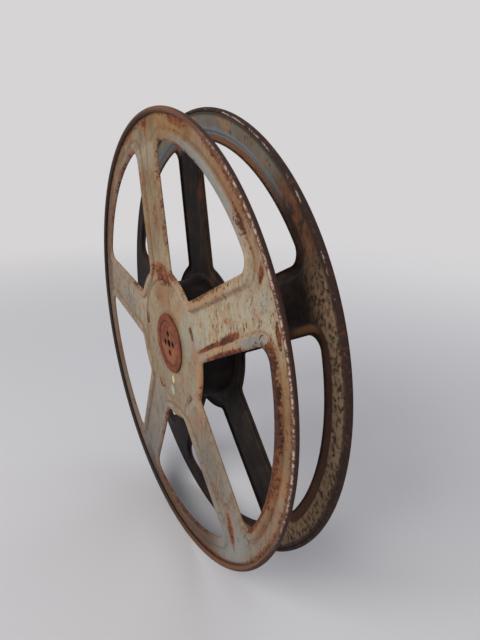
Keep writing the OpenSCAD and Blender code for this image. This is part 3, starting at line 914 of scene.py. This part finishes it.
def hub_rust():
    made, tree, skin = new_material("hub_rust")
    at = use(tree, pressing_map)
    rusty = use(tree, rust, Amount=0.58, Darkness=0.30)
    tone = ramp(tree, noise(tree, 120.0, 5.0, 0.6), 0.4, 0.62)
    tone = mix(tree, tone, srgb(112, 56, 36), srgb(148, 84, 58))
    colour = mix(tree, product(tree, rusty["Mask"], 0.45), tone, rusty["Colour"])
    ring = band(tree, at["Radius"], 21.4, 1.6)
    line = product(tree, band(tree, at["Radius"], 15.0, 0.8), 0.5)
    colour = mix(tree, product(tree, total(tree, ring, line), 0.6), colour, srgb(74, 36, 24))
    outer = ramp(tree, at["Radius"], 22.5, 26.5, 0.0, 0.35)
    colour = mix(tree, outer, colour, srgb(110, 54, 34))
    inner = product(tree, ramp(tree, at["Radius"], 20.0, 16.0), ramp(tree, at["Up"], 8.0, -8.0),
                    0.4)
    colour = mix(tree, inner, colour, srgb(160, 108, 80))
    holes = spot(tree, 0, 0, 5.8, 5.8)
    for k in range(drive_holes):
        hole = spot(tree, drive_first + 360.0 / drive_holes * k, drive_ring, 5.2, 5.2)
        holes = calc(tree, "MAXIMUM", holes, hole)
    colour = mix(tree, product(tree, holes, 0.9), colour, srgb(40, 22, 16))
    # Painted shade: near black where the plate lies below its face, inside its ring.
    hole_shade = product(tree, ramp(tree, at["Depth"], plate_face - 0.1, plate_face - 0.6),
                      ramp(tree, at["Radius"], 19.5, 18.5))
    colour = mix(tree, hole_shade, colour, srgb(16, 11, 9))
    turned = calc(tree, "SINE", calc(tree, "MULTIPLY", at["Radius"], 5.2))
    height = calc(tree, "MULTIPLY_ADD", turned, 0.10, rusty["Height"])
    rough = ramp(tree, rusty["Mask"], 0.0, 1.0, 0.7, 0.9)
    finish_skin(tree, skin, colour, rough, height, 0.2)
    return made


hub_skin = hub_rust()
for name in ("front_hub_plate", "rear_hub_plate"):
    plate = softened(name, name.replace("plate", "disc"), 0.2)
    plate.data.materials.append(hub_skin)
    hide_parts(name)
    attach(plate, "reel")


# Inside the drum: the two backing rings, the sleeve that leads the spindle through, and the
# film clip with its riveted foot. They are plain steel, dulled, and keep their drawn shapes.
def plain_steel(name, base, worn, metal):
    made, tree, skin = new_material(name, metallic=metal, specular=0.5)
    tone = mix(tree, ramp(tree, noise(tree, 150.0, 5.0, 0.6), 0.4, 0.65), base, worn)
    rusty = use(tree, rust, Amount=0.30, Darkness=0.5)
    colour = mix(tree, rusty["Mask"], tone, rusty["Colour"])
    rough = ramp(tree, rusty["Mask"], 0.0, 1.0, 0.42, 0.85)
    finish_skin(tree, skin, colour, rough, rusty["Height"], 0.1)
    return made


dull_steel = plain_steel("dull_steel", srgb(118, 110, 102), srgb(84, 74, 66), 0.7)
spring_steel = plain_steel("spring_steel", srgb(96, 98, 106), srgb(64, 62, 64), 0.8)
for node_name, skin in (("front_backing_ring", dull_steel), ("rear_backing_ring", dull_steel),
                        ("spindle_sleeve", dull_steel), ("film_clip_rivets", dull_steel),
                        ("film_clip_foot", spring_steel), ("film_clip", spring_steel)):
    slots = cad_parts[node_name].data.materials
    slots.clear()
    slots.append(skin)

# Stage, light and camera. A plain pale floor under the reel runs out into an even pale
# backdrop, and the light is soft, from above and before the front flange.
floor_at = Matrix.Translation((0, 0, cad_box[0].z))
floor_half = 6.0
bm = bmesh.new()
bmesh.ops.create_grid(bm, x_segments=2, y_segments=2, size=floor_half, matrix=floor_at)
floor_mesh = bpy.data.meshes.new("floor")
bm.to_mesh(floor_mesh)
bm.free()
floor = linked("floor", floor_mesh)
backdrop = srgb(214, 212, 213)


def pale_floor():
    """Pale and matt near the reel, and far off the backdrop's own colour to the camera."""
    made, tree, skin = new_material("pale_floor", specular=0.1)
    skin.inputs["Base Color"].default_value = srgb(226, 225, 227)
    skin.inputs["Roughness"].default_value = 0.9
    at = add(tree, "ShaderNodeTexCoord").outputs["Object"]
    away = add(tree, "ShaderNodeVectorMath", {0: at}, operation="LENGTH").outputs["Value"]
    ray = add(tree, "ShaderNodeLightPath").outputs
    far = product(tree, ramp(tree, away, 0.35, 1.7), ray["Is Camera Ray"])
    glow = add(tree, "ShaderNodeEmission", {"Color": backdrop, "Strength": 1.0}).outputs[0]
    both = add(tree, "ShaderNodeMixShader", {0: far, 1: skin.outputs[0], 2: glow}).outputs[0]
    tree.links.new(both, tree.nodes["Material Output"].inputs["Surface"])
    return made


floor_mesh.materials.append(pale_floor())

world = bpy.data.worlds.new("soft_room")
bpy.context.scene.world = world
world.use_nodes = True
sky = world.node_tree
ray = add(sky, "ShaderNodeLightPath").outputs
seen = calc(sky, "MAXIMUM", ray["Is Glossy Ray"], ray["Is Transmission Ray"])
seen = calc(sky, "MAXIMUM", ray["Is Camera Ray"], seen)
room = sky.nodes["Background"]
room.inputs["Color"].default_value = (0.80, 0.82, 0.88, 1)
room.inputs["Strength"].default_value = 0.42
plain = add(sky, "ShaderNodeBackground", {"Color": backdrop, "Strength": 1.0}).outputs[0]
both = add(sky, "ShaderNodeMixShader", {0: seen, 1: room.outputs[0], 2: plain}).outputs[0]
sky.links.new(both, sky.nodes["World Output"].inputs["Surface"])

lights = (("window_light", 1.1, 16.0, (1.0, 0.97, 0.93), (0.35, -1.25, 0.95)),
          ("back_light", 1.6, 7.0, (0.95, 0.97, 1.0), (-0.7, 1.4, 0.8)))
for name, size, watts, colour, place in lights:
    lamp = bpy.data.lights.new(name, "AREA")
    lamp.shape = "DISK"
    lamp.size = size
    lamp.energy = watts
    lamp.color = colour
    holder = linked(name, lamp)
    holder.location = place
    holder.rotation_euler = (-holder.location).to_track_quat("-Z", "Y").to_euler()

sensor_mm = 36.0
focal_px, photo_height_px = 490, 640
camera_data = bpy.data.cameras.new("camera")
camera_data.sensor_fit = "AUTO"
camera_data.sensor_width = sensor_mm
camera_data.lens = sensor_mm * focal_px / photo_height_px
camera_data.clip_start = 0.01
camera = linked("camera", camera_data)
look = Vector((-0.8184, 0.4653, -0.3372)).normalized()
up = Vector((-0.2895, 0.1730, 0.9414)).normalized()
right = look.cross(up)
camera.matrix_world = Matrix((right, up, -look)).transposed().to_4x4()
camera.location = (0.3940, -0.1687, 0.1712)
bpy.context.scene.camera = camera
bpy.context.scene.view_settings.view_transform = "Standard"
